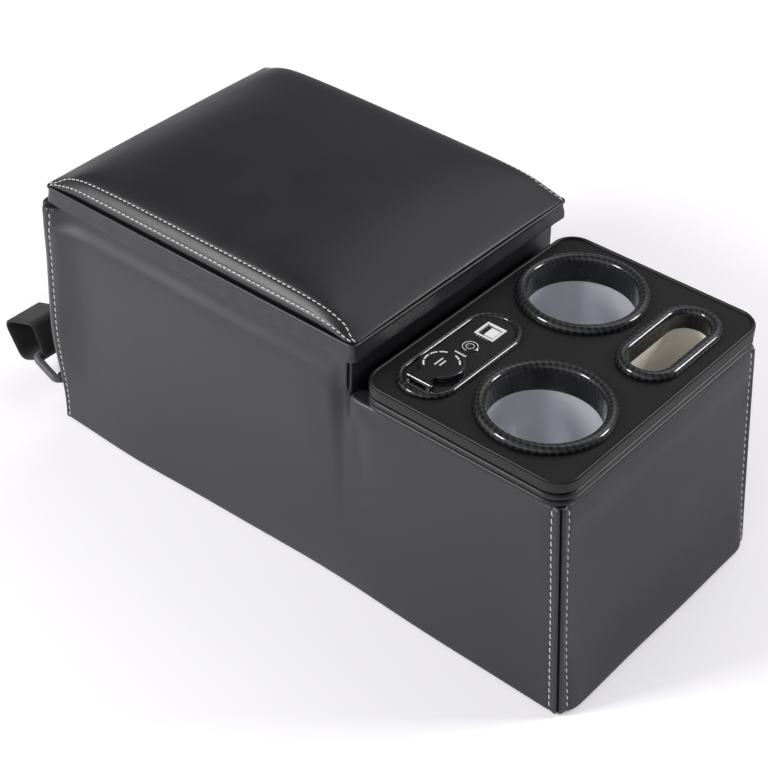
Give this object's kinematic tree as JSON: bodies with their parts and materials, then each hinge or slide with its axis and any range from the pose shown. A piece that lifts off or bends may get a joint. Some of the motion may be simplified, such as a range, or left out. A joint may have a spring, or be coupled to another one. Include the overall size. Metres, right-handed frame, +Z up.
{
  "type": "car centre armrest",
  "caption": "Leather-covered car centre console box with a padded armrest lid on a rear hinge, cup holders, a card slot, a charging port and a capped power socket.",
  "frame": {"origin": "on the floor, under the middle of the box", "axes": "+X across the box to its right side, +Y from the cup panel to the lid's hinges, +Z up"},
  "size_m": [0.212, 0.5054, 0.2223],
  "materials": {
    "leather": "fine-grained black synthetic leather",
    "plywood": "raw plywood",
    "mat_rubber": "matt",
    "flock": "black flocked felt",
    "black_plastic": "fine satin",
    "carbon_trim": "gloss with a twill carbon pattern",
    "satin_cup": "satin",
    "cream_plastic": "satin",
    "gloss_black": "high gloss",
    "white_plastic": "semi-gloss",
    "steel": "zinc plated",
    "black_steel": "black coated",
    "brass": "plain",
    "board_green": "solder mask",
    "grey_plastic": "satin",
    "webbing": "ribbed black webbing"
  },
  "bodies": {
    "console": {"base_board": "plywood", "left_board": "plywood", "right_board": "plywood", "front_board": "plywood", "rear_board": "plywood", "step_board": "plywood", "left_cover": "leather", "right_cover": "leather", "front_cover": "leather", "rear_cover": "leather", "step_cover": "leather", "base_mat": "mat_rubber", "storage_liner": "flock", "tray_frame": "black_plastic", "frame_screws": "steel", "cup_panel": "black_plastic", "cup_ring_left": "carbon_trim", "cup_ring_right": "carbon_trim", "cup_liner_left": "satin_cup", "cup_liner_right": "satin_cup", "slot_trim": "carbon_trim", "slot_liner": "cream_plastic", "charger_trim": "carbon_trim", "charger_plate": "gloss_black", "charger_housing": "black_plastic", "charger_board": "board_green", "button_switch": "grey_plastic", "usb_frame": "white_plastic", "usb_shell": "steel", "usb_insert": "white_plastic", "led_bar": "white_plastic", "socket_barrel": "steel", "socket_base": "black_plastic", "socket_contact": "brass", "cap_hinge_pin": "steel", "body_leaf_left": "black_steel", "body_leaf_right": "black_steel", "hinge_pin_left": "steel", "hinge_pin_right": "steel", "body_leaf_screws": "steel", "strap_tab": "webbing", "strap_ring": "grey_plastic", "strap_loop": "webbing", "anchor_plate": "steel", "anchor_screws": "steel"},
    "lid": {"lid_board": "plywood", "lid_wrap": "leather", "lid_lining": "flock", "lid_cushion": "leather", "lid_leaf_left": "black_steel", "lid_leaf_right": "black_steel", "lid_leaf_screws": "steel"},
    "socket_cap": {"socket_cap": "gloss_black"},
    "power_button": {"power_button": "gloss_black"}
  },
  "joints": [
    {"name": "lid_hinge", "type": "hinge", "parent": "console", "child": "lid", "pos_m": [0, 0.211, 0.18475], "axis": [-1, 0, 0], "range_deg": [0, 105]},
    {"name": "cap_hinge", "type": "hinge", "parent": "console", "child": "socket_cap", "pos_m": [-0.0845, -0.0905, 0.1794], "axis": [0, -1, 0], "range_deg": [0, 110]},
    {"name": "button_press", "type": "slide", "parent": "console", "child": "power_button", "axis": [0, 0, -1], "range_m": [0, 0.0008], "stiffness_N_per_m": 400}
  ]
}
